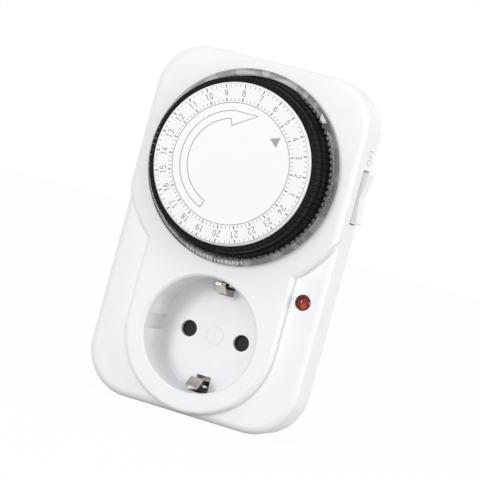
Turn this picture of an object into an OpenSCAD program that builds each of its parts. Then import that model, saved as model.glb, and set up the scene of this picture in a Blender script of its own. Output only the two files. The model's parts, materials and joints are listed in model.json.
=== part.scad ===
// Plug-in timer switch with a turning 24 hour dial, a pass-through socket and a side rocker.
// X runs to the right, Z up along the housing and Y back into the wall, all in millimetres.
// The origin lies on the axis of the plug, in the rear face that meets the wall.

/* [Housing] */
// Width of the housing
body_w = 74.6; // [74:0.2:80]
// From the socket's axis down to the lower edge
body_low = 27; // [26.5:0.5:32]
// From the socket's axis up to the upper edge
body_high = 92.5; // [91.5:0.5:100]
// From the wall to the raised front face
body_depth = 31; // [31:0.5:36]
// From the raised front face back to the joint between the two shells
front_depth = 17; // [16.5:0.5:18]
// Radius of the housing's corners, seen from the front
corner_r = 16; // [14:0.5:18]
// Rounding of the front edges
edge_r = 2.6; // [1.5:0.1:3]
// Wall of both shells
wall = 2.2; // [1.8:0.1:2.5]
// How far the lower shelf lies behind the raised face
shelf_drop = 3; // [2:0.1:3.5]
// Radius of the raised field round the dial
field_r = 40; // [39:0.5:44]
// From the side of the housing in to the raised boss round the socket
shelf_w = 11.3; // [9.8:0.1:12.8]
// How much each side of the rear shell draws in towards the wall
rear_taper = 5; // [4:0.1:5.5]
// From the corner's tangent lines in to a housing screw
screw_inset = 12.5; // [12:0.25:13.5]

/* [Socket and plug] */
// Radius of the socket recess
recess_r = 19.35; // [19.2:0.05:19.6]
// Depth of the socket recess
recess_depth = 17.5; // [17:0.1:18]
// Distance between the two pins, and between the two pin holes
pin_pitch = 19; // [18.9:0.05:19.1]
// Diameter of the pin holes in the socket's floor
pin_hole_d = 5.6; // [5.2:0.1:6]
// Diameter of a plug pin
pin_d = 4.8; // [4.7:0.02:4.86]
// Length of a plug pin beyond the plug boss
pin_l = 19; // [18.5:0.1:19.5]
// Diameter of the plug boss on the rear
plug_d = 37; // [36:0.2:38]
// Length of the plug boss
plug_l = 17; // [16.5:0.1:17.3]
// Width of an earth strip
earth_w = 4.5; // [4:0.1:5]
// Width of an earth strip's sprung leg, behind the crest that touches the plug
earth_leg_w = 1.6; // [1.2:0.1:2.4]
// Height of the earth strips from the socket's axis
earth_z = 17.3; // [17.1:0.1:17.5]

/* [Dial] */
// Height of the dial's axis above the socket's axis
dial_up = 56.6; // [56:0.2:58]
// How far the label stands in front of the raised face
dial_proud = 14.4; // [13.4:0.1:15.2]
// From the side of the housing in to the clear guard ring
dial_margin = 4.95; // [4.5:0.05:5.5]
// Width of the clear guard ring
guard_w = 2.15; // [1.9:0.05:2.5]
// From the label's edge to the outside of the tappets
tappet_d = 3; // [2.9:0.02:3.1]
// Thickness of the label disc
label_t = 1.9; // [1.6:0.1:2.2]
// Turn of the printed hours from the right, in degrees
dial_phase = -26; // [-180:1:180]
// Slit between two neighbouring tappets
tappet_gap = 0.18; // [0.15:0.01:0.3]
// Travel of a tappet from off to on
tappet_travel = 3; // [2:0.1:3]
// Height of the clear guard ring
guard_h = 3.3; // [2.5:0.1:4]

/* [Rocker and indicator] */
// Height of the rocker's pivot above the socket's axis
rocker_up = 56.9; // [56:0.1:58]
// Length of the rocker
rocker_l = 17.4; // [16:0.2:17.6]
// Width of the rocker
rocker_w = 6.2; // [5.6:0.1:6.3]
// From the raised face back to the front edge of the rocker
rocker_back = 8.4; // [8:0.1:8.6]
// How far the rocker's ends stand out
rocker_proud = 2.1; // [1.8:0.1:2.6]
// Indicator lamp: from the side of the housing in to its axis
lamp_in = 6.8; // [6.4:0.1:8]
// Indicator lamp: height above the socket's axis
lamp_z = 19.3; // [18:0.1:20]
// Diameter of the indicator lens
lens_d = 5.2; // [4.8:0.1:5.6]

/* [Clockwork] */
// From the raised face back to the clockwork's front plate
plate_depth = 8.5; // [8.4:0.1:8.8]
// Thickness of both clockwork plates
plate_t = 1.5; // [1.2:0.1:1.6]
// Room between the clockwork's plates
gear_room = 8; // [7.8:0.1:8.2]
// Module of the wheels inside the clockwork
train_module = 0.5; // [0.48:0.01:0.5]
// Teeth on the small pinions
pinion_teeth = 8; // [8:1:9]
// Teeth on the large wheels
wheel_teeth = 40; // [36:1:40]
// Radius of the motor
motor_r = 16; // [14:0.5:16.5]
// Radius of the steel arbors
arbor_r = 0.6; // [0.5:0.05:0.7]

/* [Hidden] */
$fn = 64;
eps = 0.01;
running = 0.05;            // radial clearance of turning and guided fits
gap = 0.3;                 // clearance between pieces that move past each other
HOURS = 24;
QUARTERS = 4;
white = [0.96, 0.96, 0.96];
brass = [0.80, 0.66, 0.36];
nickel = [0.78, 0.77, 0.73];
black = [0.12, 0.12, 0.12];

// Depths along Y, from the raised face back to the wall
face_y = -body_depth;
shelf_y = face_y + shelf_drop;
parting_y = face_y + front_depth;
ceiling_y = shelf_y + wall;
well_y = face_y + wall;
floor_y = face_y + recess_depth;
floor_t = 2;
floor_back_y = floor_y + floor_t;
label_y = face_y - dial_proud;
drum_y = label_y + label_t;
plate_y = face_y + plate_depth;
plate_back_y = plate_y + plate_t;
rear_plate_y = plate_back_y + gear_room;
rear_plate_back_y = rear_plate_y + plate_t;
motor_back_y = -wall - gap;

// Widths across X that follow the sides of the housing
side_x = body_w / 2 - wall - 0.9;      // edge of the clockwork's front plate
lamp_x = body_w / 2 - lamp_in;
boss_r = body_w / 2 - shelf_w;         // raised boss round the socket
guard_r = body_w / 2 - dial_margin;
hole_r = guard_r - guard_w;
ring_gap = 0.7;
tappet_r = hole_r - ring_gap;
label_r = tappet_r - tappet_d;
tappet_angle = 360 / HOURS / QUARTERS - tappet_gap / tappet_r * 180 / PI;

// Socket and plug
cup_wall = 1.9;
cup_r = recess_r + cup_wall;
lug_reach = 1.85;          // how far a guide lug stands in from the recess wall
lug_low = 2.6;
lug_high = 10.3;
lug_slope = 3.6;
lug_front_y = face_y + 1.4;
earth_mouth = 13.9;         // inner edge of the windows that the earth strips spring through
earth_mouth_y = face_y + 10.5;
pin_x = pin_pitch / 2;
plug_r = plug_d / 2;
plug_wall = 3;
plug_in_r = plug_r - plug_wall;
plug_flat = recess_r - lug_reach - gap;
pin_tail_y = 8;
pin_neck_r = pin_d / 2 - 0.2;   // of a pin inside the plug boss
strip_t = 0.7;
earth_slot = 0.35;         // clearance round an earth strip
shutter_r = 13;
shutter_t = 2;
shutter_y = floor_back_y + gap;
shutter_turn = 35;
shutter_hub_r = 2;
carrier_y = shutter_y + shutter_t + gap;
carrier_t = 1.6;
carrier_back_y = carrier_y + carrier_t;
carrier_r = 15.9;
carrier_rib_z = 12.5;
tube_w = 8.4;
tube_h = 9.4;
tube_wall = 1;
tube_end_y = 4;
contact_base_y = 5.9;
fork_front_y = carrier_back_y + 0.4;
fork_pinch_y = fork_front_y + 2.9;
fork_half = pin_d / 2 + 0.5;
contact_t = 0.6;

// Dial
well_r = guard_r + 1.05;
rim_w = 0.8;               // of the label's rounded rim, behind its printed face
rim_step = 0.5;
rim_round = 0.95;
drum_r = label_r;
drum_wall = 2.1;
drum_web = 1.2;
groove = 0.9;
tappet_top_y = drum_y + gap - 0.6;
tappet_foot_y = face_y - 0.5;
tongue_h = 3.5;
tongue_y = tappet_top_y + 4.6;
dial_gear_teeth = 60;
gear_inset = 2.5;
drum_in_r = drum_r - 4.6;
dial_module = (drum_r - gear_inset) * 2 / dial_gear_teeth;
dial_gear_t = 2.5;
dial_gear_y = face_y + 4;
hub_r = 6;
post_r = 4;

// Wheel train, from the dial to the motor; each place follows the one before it
drive_teeth = 10;
drive_angle = 210;
clutch_angle = 80;
two_angle = 20;
motor_angle = 40;
centre_step = train_module * (pinion_teeth + wheel_teeth) / 2;
drive_step = dial_module * (dial_gear_teeth + drive_teeth) / 2;
function step(p, r, a) = [p[0] + r * cos(a), p[1] + r * sin(a)];
dial_c = [0, dial_up];
drive_c = step(dial_c, drive_step, drive_angle);
two_c = step(drive_c, centre_step, clutch_angle);
one_c = step(two_c, centre_step, two_angle);
motor_c = step(one_c, centre_step, motor_angle);
wheel_t = 1.5;
layer_a_y = plate_back_y + gap;
layer_b_y = layer_a_y + wheel_t + 0.7;
layer_c_y = layer_b_y + wheel_t + 0.7;
drive_shaft_r = 1.2;
collar_r = 2.6;
pillars = [[3.2 - side_x, dial_up + 9.9], [side_x - 17.2, dial_up + 15.9],
           [side_x - 20.2, dial_up - 10.1], [3.7 - side_x, dial_up - 25.6]];
pawl_c = [motor_c[0] + 7, motor_c[1] + 5];
pawl_hub_r = 1.4;
plate_top = 18.4;              // of both clockwork plates, above the dial's axis
rear_plate_in = 1.2;           // the rear plate's outline, inward from the front plate's edges
rear_plate_chamfer = 3;
rear_plate_right = 14.7;
rear_plate_step = 30.2;
rear_plate_foot = 10.2;
rear_plate_step_down = 12.6;   // and downward from the dial's axis
rear_plate_down = 28;
pawl_y = layer_c_y + 0.2;
pawl_t = 1.2;
rotor_r = 6.4;
// Where a wheel stands so that a tooth gap faces the neighbour at angle a
function gap_at(a, teeth) = a + 180 / teeth;

// Switch works
plate_low = cup_r + 1.15;
blade_z = plate_low + 7.6;
lever_x = 13;
lever_w = 4;
// The lever's nose reaches up to the tappets' circle
lever_pivot = [plate_y - 1.5, dial_up - sqrt(pow(tappet_r, 2) - pow(lever_x, 2)) - 3.8];
lever_pin_r = 0.8;
lever_pin_end = 1.6;
lever_hub_r = 1.4;
nose_y = tappet_foot_y + tappet_travel + gap;
blade_x = lamp_x - 3.5;
blade_low = blade_z - 2;
blade_high = blade_z + 2;
blade_t = 0.4;
curl_r = 0.6;               // rolled end of the blade, in the live bar's cradle
blade_y = plate_back_y + 1.1;
contact_x = 11;
switch_gap = 1.5;
fixed_y = blade_y + blade_t + switch_gap;   // the switch's fixed contact
case_y = blade_y + blade_t + gap;
case_depth = 8;
case_wall = 1.2;
// Both bars run through the room between the contact carrier and the rear wall
bus_room = -wall - carrier_back_y;
load_share = 7 / 51;
live_share = 27 / 51;
load_run_y = carrier_back_y + load_share * bus_room;
live_run_y = carrier_back_y + live_share * bus_room;
lead_x = lamp_x - 1;
bus_t = 0.6;
bus_left = pin_x - 1.5;
bus_right = pin_x + 1.5;
bus_tab = 9.4;              // height at which the live bar leaves its pin
load_tab = 6.2;
lead_r = 0.3;

// Rocker
rocker_pivot_x = body_w / 2 - wall - 1.5;
rocker_pin_r = 1.2;
rocker_pin_end = 1.8;
ear_t = 1.7;
ear_half = 2.5;
rocker_y = face_y + rocker_back;
slot_gap = 0.4;

// Screws and posts
screw_x = body_w / 2 - screw_inset;
screw_zs = [screw_inset - body_low, body_high - screw_inset];
screw_r = 1.45;
screw_head_r = 2.7;
boss_post_r = 3.6;
pillar_r = 4;
counterbore_l = 4;
posts = [[3.2 - side_x, dial_up + 13.9], [side_x - 3.2, dial_up + 13.9],
         [-13, plate_low + 3], [side_x - 10.2, plate_low + 8.6]];
post_stake_r = 1.2;
post_boss_r = 2.6;
screw_reach = 8;            // how far a screw runs into the front shell
slot_half = 0.3;

function hour_name(h) = str("tappets_hour_", h < 10 ? "0" : "", h);

// ---- Helpers: drawn flat with X to the right and Y up, thickness towards the viewer ----

// Puts a flat drawing upright, with its back at depth y
module upright(y) translate([0, y, 0]) rotate([90, 0, 0]) children();

// A flat drawing as a plate from depth y_back forward to y_front
module plate(y_back, y_front) upright(y_back) linear_extrude(y_back - y_front) children();

// A round bar along Y about the point c = [x, z]
module rod(c, r, y_back, y_front)
    translate([c[0], y_back, c[1]]) rotate([90, 0, 0]) cylinder(r = r, h = y_back - y_front);

// A turned part about the point c: its outline is [radius, depth along Y]
module turned(c) translate([c[0], 0, c[1]]) rotate([-90, 0, 0]) rotate_extrude() children();

// A box from corner a to corner b
module block(a, b) translate(a) cube([b[0] - a[0], b[1] - a[1], b[2] - a[2]]);

// A profile in the Y-Z plane, w wide about x
module across(x, w) translate([x - w / 2, 0, 0]) rotate([90, 0, 90]) linear_extrude(w) children();

// Quarter-section of a rounded slab: r out from the corner's axis, t thick, top edge rounded
module edge_profile(r, t, edge) {
    square([r, t - edge]);
    square([r - edge, t]);
    translate([r - edge, t - edge]) circle(r = edge);
}

// Quarter-section that draws in towards its top, with a small bevel
module taper_profile(r, t, taper, bevel)
    polygon([[0, 0], [r, 0], [r - taper, t - bevel], [r - taper - bevel, t], [0, t]]);

// A round-cornered slab whose sides all have the section given as its child
module slab(w, low, high, r, t) {
    cx = w / 2 - r;
    lo = r - low;
    hi = high - r;
    for (c = [[cx, hi, 0], [-cx, hi, 90], [-cx, lo, 180], [cx, lo, 270]])
        translate([c[0], c[1], 0]) rotate([0, 0, c[2]]) rotate_extrude(angle = 90) children();
    for (m = [0, 1]) mirror([m, 0, 0])
        translate([cx, hi, 0]) rotate([90, 0, 0]) linear_extrude(hi - lo) children();
    translate([-cx, hi, 0]) rotate([90, 0, 90]) linear_extrude(2 * cx) children();
    translate([-cx, lo, 0]) mirror([0, 1, 0]) rotate([90, 0, 90]) linear_extrude(2 * cx) children();
    translate([-cx, lo, 0]) cube([2 * cx, hi - lo, t]);
}

// A spur gear outline with straight-flanked teeth and a working backlash
module gear_outline(teeth, mod, turn) {
    pitch_r = teeth * mod / 2;
    tip_r = pitch_r + 0.8 * mod;
    root_r = pitch_r - 1.2 * mod;
    half = 360 / teeth;
    rotate([0, 0, turn])
        polygon([for (i = [0 : teeth - 1]) for (p = [[-0.30, root_r], [-0.19, pitch_r], [-0.08, tip_r],
            [0.08, tip_r], [0.19, pitch_r], [0.30, root_r]])
            [p[1] * cos((i + p[0]) * half), p[1] * sin((i + p[0]) * half)]]);
}

// A gear standing at c, with its thickness from y_back forward to y_front
module gear(c, teeth, mod, turn, y_back, y_front)
    plate(y_back, y_front) translate(c) gear_outline(teeth, mod, turn);

module at_screws() for (s = [-1, 1]) for (z = screw_zs) translate([s * screw_x, 0, z]) children();

// ---- Housing ----

// Raised field: everything above the arc round the dial, and the boss round the socket
module raised_field(t) {
    translate([0, dial_up, 0]) rotate([0, 0, 180])
        rotate_extrude(angle = 180) edge_profile(field_r, t, edge_r / 2);
    translate([-body_w, dial_up, 0]) cube([2 * body_w, body_high, t]);
    rotate([0, 0, 180]) rotate_extrude(angle = 180) edge_profile(boss_r, t, edge_r / 2);
    for (m = [0, 1]) mirror([m, 0, 0])
        translate([0, dial_up, 0]) rotate([90, 0, 0]) linear_extrude(dial_up)
            edge_profile(boss_r, t, edge_r / 2);
}

module front_skin() {
    shelf_t = front_depth - shelf_drop;
    upright(parting_y) {
        slab(body_w, body_low, body_high, corner_r, shelf_t) edge_profile(corner_r, shelf_t, edge_r);
        intersection() {
            slab(body_w, body_low, body_high, corner_r, front_depth)
                edge_profile(corner_r, front_depth, edge_r);
            raised_field(front_depth);
        }
    }
}

// Hollow of the front shell, open at the joint
module front_hollow() {
    t = parting_y - ceiling_y;
    r = corner_r - wall;
    upright(parting_y + eps)
        slab(body_w - 2 * wall, body_low - wall, body_high - wall, r, t + eps) square([r, t + eps]);
    rod(dial_c, well_r, ceiling_y + eps, well_y);
}

// One guide lug with its sloped lead-in, on the right of the recess
module guide_lug() {
    inner = recess_r - lug_reach;
    translate([0, 0, lug_low]) linear_extrude(lug_high - lug_low)
        polygon([[inner, floor_y + eps], [inner, lug_front_y + 1 + lug_slope], [recess_r + eps, lug_front_y],
                 [cup_r - eps, lug_front_y], [cup_r - eps, floor_y + eps]]);
}

module earth_window(z_low, z_high, y_low, y_high)
    for (s = [0, 1]) mirror([0, 0, s])
        block([-earth_w / 2 - earth_slot, y_low, z_low], [earth_w / 2 + earth_slot, y_high, z_high]);

module rocker_ears() {
    for (y = [rocker_y - gap - ear_t, rocker_y + rocker_w + gap])
        block([rocker_pivot_x - ear_half + gap, y, rocker_up - ear_half],
              [body_w / 2 - wall + eps, y + ear_t, rocker_up + ear_half]);
}

module front_housing() color(white) difference() {
    union() {
        difference() {
            front_skin();
            front_hollow();
        }
        rod([0, 0], cup_r, floor_back_y, ceiling_y - eps);
        at_screws() rod([0, 0], boss_post_r, parting_y, ceiling_y - eps);
        for (p = posts) rod(p, post_boss_r, plate_y, ceiling_y - eps);
        for (p = posts) rod(p, post_stake_r, plate_back_y + 0.4, plate_y - eps);
        rocker_ears();
    }
    // Socket recess, cut so that the two pairs of guide lugs stay
    difference() {
        rod([0, 0], recess_r, floor_y, face_y - eps);
        for (mx = [0, 1]) for (mz = [0, 1]) mirror([mx, 0, 0]) mirror([0, 0, mz]) guide_lug();
    }
    // A shallow lead-in round the recess mouth
    turned([0, 0]) polygon([[recess_r - eps, face_y - eps], [recess_r + 0.7, face_y - eps],
                            [recess_r - eps, face_y + 0.7]]);
    for (s = [-1, 1]) rod([s * pin_x, 0], pin_hole_d / 2, floor_back_y + eps, floor_y - eps);
    earth_window(earth_mouth, cup_r + eps, earth_mouth_y, floor_back_y + eps);
    rod(dial_c, hole_r, well_y + eps, face_y - eps);
    at_screws() rod([0, 0], screw_r + running, parting_y + eps, parting_y - screw_reach - 1);
    // Rocker slot and the bores of its pins
    block([body_w / 2 - wall - eps, rocker_y - slot_gap, rocker_up - rocker_l / 2 - 0.5],
          [body_w / 2 + eps, rocker_y + rocker_w + slot_gap, rocker_up + rocker_l / 2 + 0.5]);
    rod([rocker_pivot_x, rocker_up], rocker_pin_r + running,
        rocker_y + rocker_w + rocker_pin_end + 0.7, rocker_y - rocker_pin_end - 0.7);
    rod([lamp_x, lamp_z], lens_d / 2 + running, ceiling_y + eps, shelf_y - eps);
}

module rear_skin() translate([0, parting_y, 0]) rotate([90, 0, 0]) mirror([0, 0, 1])
    slab(body_w - 1, body_low - 0.5, body_high - 0.5, corner_r - 0.5, -parting_y)
        taper_profile(corner_r - 0.5, -parting_y, rear_taper, 1);

module rear_hollow() translate([0, parting_y - eps, 0]) rotate([90, 0, 0]) mirror([0, 0, 1]) {
    r = corner_r - 0.5 - wall;
    t = -parting_y - wall + eps;
    slab(body_w - 1 - 2 * wall, body_low - 0.5 - wall, body_high - 0.5 - wall, r, t)
        polygon([[0, 0], [r, 0], [r - rear_taper * t / -parting_y, t], [0, t]]);
}

// Plug boss with the two flats and middle ribs that pass the guide lugs of a wall socket
module plug_boss() difference() {
    rod([0, 0], plug_r, plug_l, -eps);
    for (s = [0, 1]) mirror([s, 0, 0]) difference() {
        block([plug_flat, eps, -lug_high - gap], [plug_r + 1, plug_l + eps, lug_high + gap]);
        block([plug_flat - 1, -1, gap - lug_low], [plug_r + 2, plug_l + 1, lug_low - gap]);
    }
}

module rear_housing() color(white) difference() {
    union() {
        difference() {
            rear_skin();
            rear_hollow();
        }
        plug_boss();
        at_screws() rod([0, 0], pillar_r, -eps, parting_y);
    }
    rod([0, 0], plug_in_r - 0.5, plug_l - plug_wall, -wall - eps);
    for (s = [-1, 1]) rod([s * pin_x, 0], pin_neck_r + running, plug_l + eps, plug_l - plug_wall - eps);
    // Slots that take the earth strips through the rear wall and along the plug boss
    earth_window(earth_z - strip_t / 2 - earth_slot, plug_r + 1, -eps, plug_l - 1);
    earth_window(earth_z - strip_t / 2 - earth_slot, earth_z + strip_t / 2 + earth_slot, -wall - eps, eps);
    at_screws() rod([0, 0], screw_head_r + gap, eps, -counterbore_l);
    at_screws() rod([0, 0], screw_r + running, eps, parting_y - eps);
}

module housing_screws() color(nickel) at_screws() difference() {
    union() {
        rod([0, 0], screw_r, -counterbore_l, parting_y - screw_reach);
        rod([0, 0], screw_head_r, -counterbore_l + 2, -counterbore_l);
    }
    for (a = [0, 90]) rotate([0, a, 0]) block([-1.6, -counterbore_l + 1, -slot_half], [1.6, 0, slot_half]);
}

module guard_ring() color([0.3, 0.3, 0.3, 0.5]) turned(dial_c)
    polygon([[hole_r, face_y], [guard_r, face_y], [guard_r, face_y - guard_h + 1.1],
             [guard_r - 0.25, face_y - guard_h + 0.45], [guard_r - 0.8, face_y - guard_h],
             [hole_r + 0.5, face_y - guard_h], [hole_r + 0.1, face_y - guard_h + 0.4],
             [hole_r, face_y - guard_h + 0.9]]);

// ---- Earth path ----

// Centre lines of an earth strip's tongue, sprung leg and tail, from the front back
earth_tip_y = face_y + 5.2;
earth_crest = [face_y + 11, earth_z - 2.4];
earth_foot = [face_y + 16.6, earth_z];
earth_tongue = [[earth_tip_y, earth_z + 0.3], [face_y + 6.6, earth_z + 0.4],
                [face_y + 9.2, earth_z - 1.3], earth_crest];
earth_leg = [earth_crest, [face_y + 12.4, earth_z - 2], earth_foot];
earth_tail = [earth_foot, [plug_l - 1.4, earth_z]];
module strip(line, w) across(0, w)
    polygon(concat([for (p = line) [p[0], p[1] + strip_t / 2]],
        [for (i = [len(line) - 1 : -1 : 0]) [line[i][0], line[i][1] - strip_t / 2]]));
module earth_strip() {
    intersection() {
        strip(earth_tongue, earth_w);
        translate([0, earth_tip_y + earth_w / 2, 0]) union() {
            cylinder(r = earth_w / 2, h = body_w);
            block([-earth_w, 0, 0], [earth_w, front_depth, body_w]);
        }
    }
    strip(earth_leg, earth_leg_w);
    strip(earth_tail, earth_w);
}
module earth_clip_top() color(nickel) earth_strip();
module earth_clip_bottom() color(nickel) mirror([0, 0, 1]) earth_strip();

// Flat bar across the back of the socket that ties the two strips together
module earth_bridge() color(nickel)
    block([-earth_w / 2, -wall - strip_t, strip_t / 2 - earth_z],
          [earth_w / 2, -wall, earth_z - strip_t / 2]);

// ---- Current path ----

module plug_pin(s) color(nickel) {
    tip_y = plug_l + pin_l;
    pin_r = pin_d / 2;
    turned([s * pin_x, 0])
        polygon([[0, pin_tail_y], [pin_neck_r, pin_tail_y], [pin_neck_r, plug_l + 0.5],
                 [pin_r, plug_l + 0.5], [pin_r, tip_y - 1.6],
                 [pin_r - 0.6, tip_y - 0.6], [pin_r - 1.4, tip_y], [0, tip_y]]);
}

// Fork of two sprung leaves that grips an appliance's pin
module socket_contact(s, back_y) color(brass) translate([s * pin_x, 0, 0]) {
    pinch = fork_half - 0.7;
    base_y = contact_base_y + contact_t;
    for (m = [0, 1]) mirror([m, 0, 0]) translate([0, 0, -3]) linear_extrude(6)
        polygon([[fork_half, fork_front_y], [pinch, fork_pinch_y], [fork_half, base_y],
                 [fork_half - contact_t, base_y], [pinch - contact_t, fork_pinch_y],
                 [fork_half - contact_t, fork_front_y]]);
    block([-fork_half, contact_base_y, -3], [fork_half, back_y, 3]);
}
module socket_contact_live() socket_contact(1, contact_base_y + contact_t);
module socket_contact_neutral() socket_contact(-1, pin_tail_y);

// Insulating carrier: a disc behind the shutter with a shroud round each contact
module contact_carrier() color([0.85, 0.83, 0.78]) difference() {
    union() {
        rod([0, 0], carrier_r, carrier_back_y, carrier_y);
        rod([0, 0], shutter_hub_r, carrier_y + eps, floor_back_y);
        for (s = [-1, 1])
            block([s * pin_x - tube_w / 2, carrier_y, -tube_h / 2],
                  [s * pin_x + tube_w / 2, tube_end_y, tube_h / 2]);
        for (m = [0, 1]) mirror([0, 0, m])
            block([-bus_left, carrier_y, carrier_rib_z], [bus_left, carrier_back_y + 1, carrier_rib_z + 1.2]);
    }
    for (s = [-1, 1]) {
        rod([s * pin_x, 0], pin_hole_d / 2, carrier_back_y + eps, carrier_y - eps);
        block([s * pin_x - tube_w / 2 + tube_wall, carrier_back_y, -tube_h / 2 + tube_wall],
              [s * pin_x + tube_w / 2 - tube_wall, tube_end_y + eps, tube_h / 2 - tube_wall]);
    }
}

// Turning shutter: two holes that stand away from the pin holes until both pins press its ramps
module child_shutter() color([0.13, 0.17, 0.15]) difference() {
    rod([0, 0], shutter_r, shutter_y + shutter_t, shutter_y);
    rod([0, 0], shutter_hub_r + running, shutter_y + shutter_t + eps, shutter_y - eps);
    for (s = [0, 180]) rotate([0, s + shutter_turn, 0])
        rod([pin_x, 0], pin_hole_d / 2, shutter_y + shutter_t + eps, shutter_y - eps);
    // Pocket for the return spring
    block([-1.4, shutter_y + 0.8, -11], [1.4, shutter_y + shutter_t + eps, -4]);
}

// Return spring of the shutter: a serpentine strip lying in its pocket
module shutter_spring() color(nickel) plate(shutter_y + shutter_t - 0.1, shutter_y + 0.9) {
    bend = 0.8;
    for (i = [0 : 6]) translate([-1, -4.8 - i * bend]) square([2, 0.25]);
    for (i = [0 : 5]) translate([i % 2 == 0 ? 0.75 : -1, -4.8 - (i + 1) * bend]) square([0.25, bend + 0.2]);
}

// Live bar: from the live pin's tail out of the plug boss and across to the switch blade's anchor
module live_busbar() color(brass) {
    block([bus_left, pin_tail_y - bus_t, -2], [bus_right, pin_tail_y, bus_tab + bus_t]);
    block([bus_left, live_run_y, bus_tab], [bus_right, pin_tail_y - eps, bus_tab + bus_t]);
    block([bus_left, live_run_y, bus_tab], [bus_right, live_run_y + bus_t, blade_z + 3]);
    block([bus_left, live_run_y, blade_z], [lead_x + 0.6, live_run_y + bus_t, blade_z + 3]);
    difference() {
        block([blade_x, blade_y - 0.7, blade_low], [blade_x + 2, blade_y + blade_t + 0.7, blade_high]);
        translate([blade_x, blade_y + blade_t / 2, blade_low - 1]) cylinder(r = curl_r + running, h = 6);
    }
    block([blade_x + 1.4, blade_y, blade_z], [blade_x + 2, live_run_y + bus_t, blade_z + 2]);
}

// Load bar: from the switch's fixed contact back to the socket's live contact
module load_busbar() color(brass) {
    block([bus_left, contact_base_y + contact_t, -2],
          [bus_right, contact_base_y + 2 * contact_t, load_tab + bus_t]);
    block([bus_left, load_run_y, load_tab], [bus_right, contact_base_y + contact_t + eps, load_tab + bus_t]);
    block([bus_left, load_run_y, load_tab], [bus_right, load_run_y + bus_t, blade_z + 1]);
    block([bus_left, case_y + 2.4, blade_z - 1], [bus_left + bus_t, load_run_y + bus_t, blade_z + 1]);
    block([bus_left, fixed_y, blade_z - 1.4],
          [contact_x + 1.8, fixed_y + bus_t, blade_z + 1.4]);
    block([bus_left, fixed_y, blade_z - 1], [bus_left + bus_t, case_y + 2.5, blade_z + 1]);
}

// ---- Switch works ----

module switch_case() color([0.2, 0.2, 0.22]) difference() {
    left = bus_left - 1.5;
    back_y = case_y + case_depth;
    block([left, case_y, blade_z - 5], [blade_x + 4, back_y, blade_z + 5]);
    block([left + case_wall, case_y - eps, blade_z - 5 + case_wall],
          [blade_x - 3, back_y - case_wall, blade_z + 5 - case_wall]);
    block([bus_left - gap, back_y - 2, blade_z - 1.4], [bus_left + bus_t + gap, back_y + 1, blade_z + 1.4]);
    block([blade_x + 1.4 - gap, case_y - eps, blade_z - gap],
          [blade_x + 2 + gap, back_y + 1, blade_z + 2 + gap]);
    block([blade_x - gap, case_y - eps, blade_low - gap], [blade_x + 2 + gap, case_y + 1, blade_high + gap]);
}

// Sprung leaf with its contact button and its rolled end in the live bar's cradle
module switch_blade() color(brass) {
    block([contact_x - 1.8, blade_y, blade_low + 0.4], [blade_x, blade_y + blade_t, blade_high - 0.4]);
    translate([blade_x, blade_y + blade_t / 2, blade_low + 0.4]) cylinder(r = curl_r, h = 3.2);
    rod([contact_x, blade_z], 1.1, blade_y + blade_t + 0.1, blade_y + eps);
    rod([lever_x, blade_z + 1], 1, blade_y + eps, blade_y - 0.5);
}

// Lever that the pressed tappets push back as they pass; its foot presses the blade
module follower_lever() color([0.9, 0.88, 0.8]) {
    nose = nose_y - lever_pivot[0];
    foot = blade_y - 0.7 - lever_pivot[0];
    translate([0, lever_pivot[0], lever_pivot[1]]) across(lever_x, lever_w)
        polygon([[-1.3, 0], [-1.3, 1.4], [nose, 3.4], [nose, 4.8], [foot, 4.9], [foot, 3.8],
                 [1.4, 2.2], [1.3, 0]]);
    translate([lever_x - lever_w / 2, lever_pivot[0], lever_pivot[1]]) rotate([0, 90, 0])
        cylinder(r = lever_hub_r, h = lever_w);
    translate([lever_x - lever_w / 2 - lever_pin_end, lever_pivot[0], lever_pivot[1]]) rotate([0, 90, 0])
        cylinder(r = lever_pin_r, h = lever_w + 2 * lever_pin_end);
}

module side_rocker() color(white) {
    outer = body_w / 2;
    half = rocker_l / 2;
    translate([0, rocker_y, 0]) mirror([0, 1, 0]) rotate([90, 0, 0]) linear_extrude(rocker_w)
        translate([0, rocker_up])
            polygon([[rocker_pivot_x - 1.6, -2.4], [outer - wall, -half],
                     [outer + rocker_proud - 0.4, -half - 0.1], [outer + rocker_proud, -half + 0.4],
                     [outer + 0.9, 0], [outer + rocker_proud, half - 0.8],
                     [outer + rocker_proud - 0.5, half - 0.4], [outer - wall, half],
                     [rocker_pivot_x - 1.6, 2.4]]);
    rod([rocker_pivot_x, rocker_up], rocker_pin_r,
        rocker_y + rocker_w + rocker_pin_end, rocker_y - rocker_pin_end);
}

// ---- Indicator ----

module indicator_lens() color([0.55, 0.05, 0.05]) difference() {
    union() {
        rod([lamp_x, lamp_z], lens_d / 2, ceiling_y + eps, shelf_y);
        rod([lamp_x, lamp_z], lens_d / 2 + 0.8, ceiling_y + 0.8, ceiling_y);
        intersection() {
            translate([lamp_x, shelf_y + 1.6, lamp_z]) sphere(r = sqrt(pow(lens_d / 2, 2) + 1.6 * 1.6));
            rod([lamp_x, lamp_z], lens_d / 2, shelf_y + eps, shelf_y - 3);
        }
    }
    rod([lamp_x, lamp_z], lens_d / 2 - 0.5, ceiling_y + 1, shelf_y + 0.8);
}

module neon_lamp() color([0.9, 0.6, 0.4]) {
    rod([lamp_x, lamp_z], lens_d / 2 - 0.6, ceiling_y + 10, shelf_y + 1.6);
    for (dz = [-1, 1]) rod([lead_x, lamp_z + dz], lead_r, load_run_y, ceiling_y + 9.9);
}

module lamp_resistor() color([0.75, 0.65, 0.5]) {
    wire_z = lamp_z + 1.3;
    translate([lead_x, load_run_y, lamp_z + 3.2]) cylinder(r = 1.1, h = 6);
    translate([lead_x, load_run_y, wire_z]) cylinder(r = lead_r + 0.1, h = blade_z + 1.6 - wire_z);
    rod([lead_x, blade_z + 0.8], lead_r, live_run_y, load_run_y);
}

// ---- Clockwork ----

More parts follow.
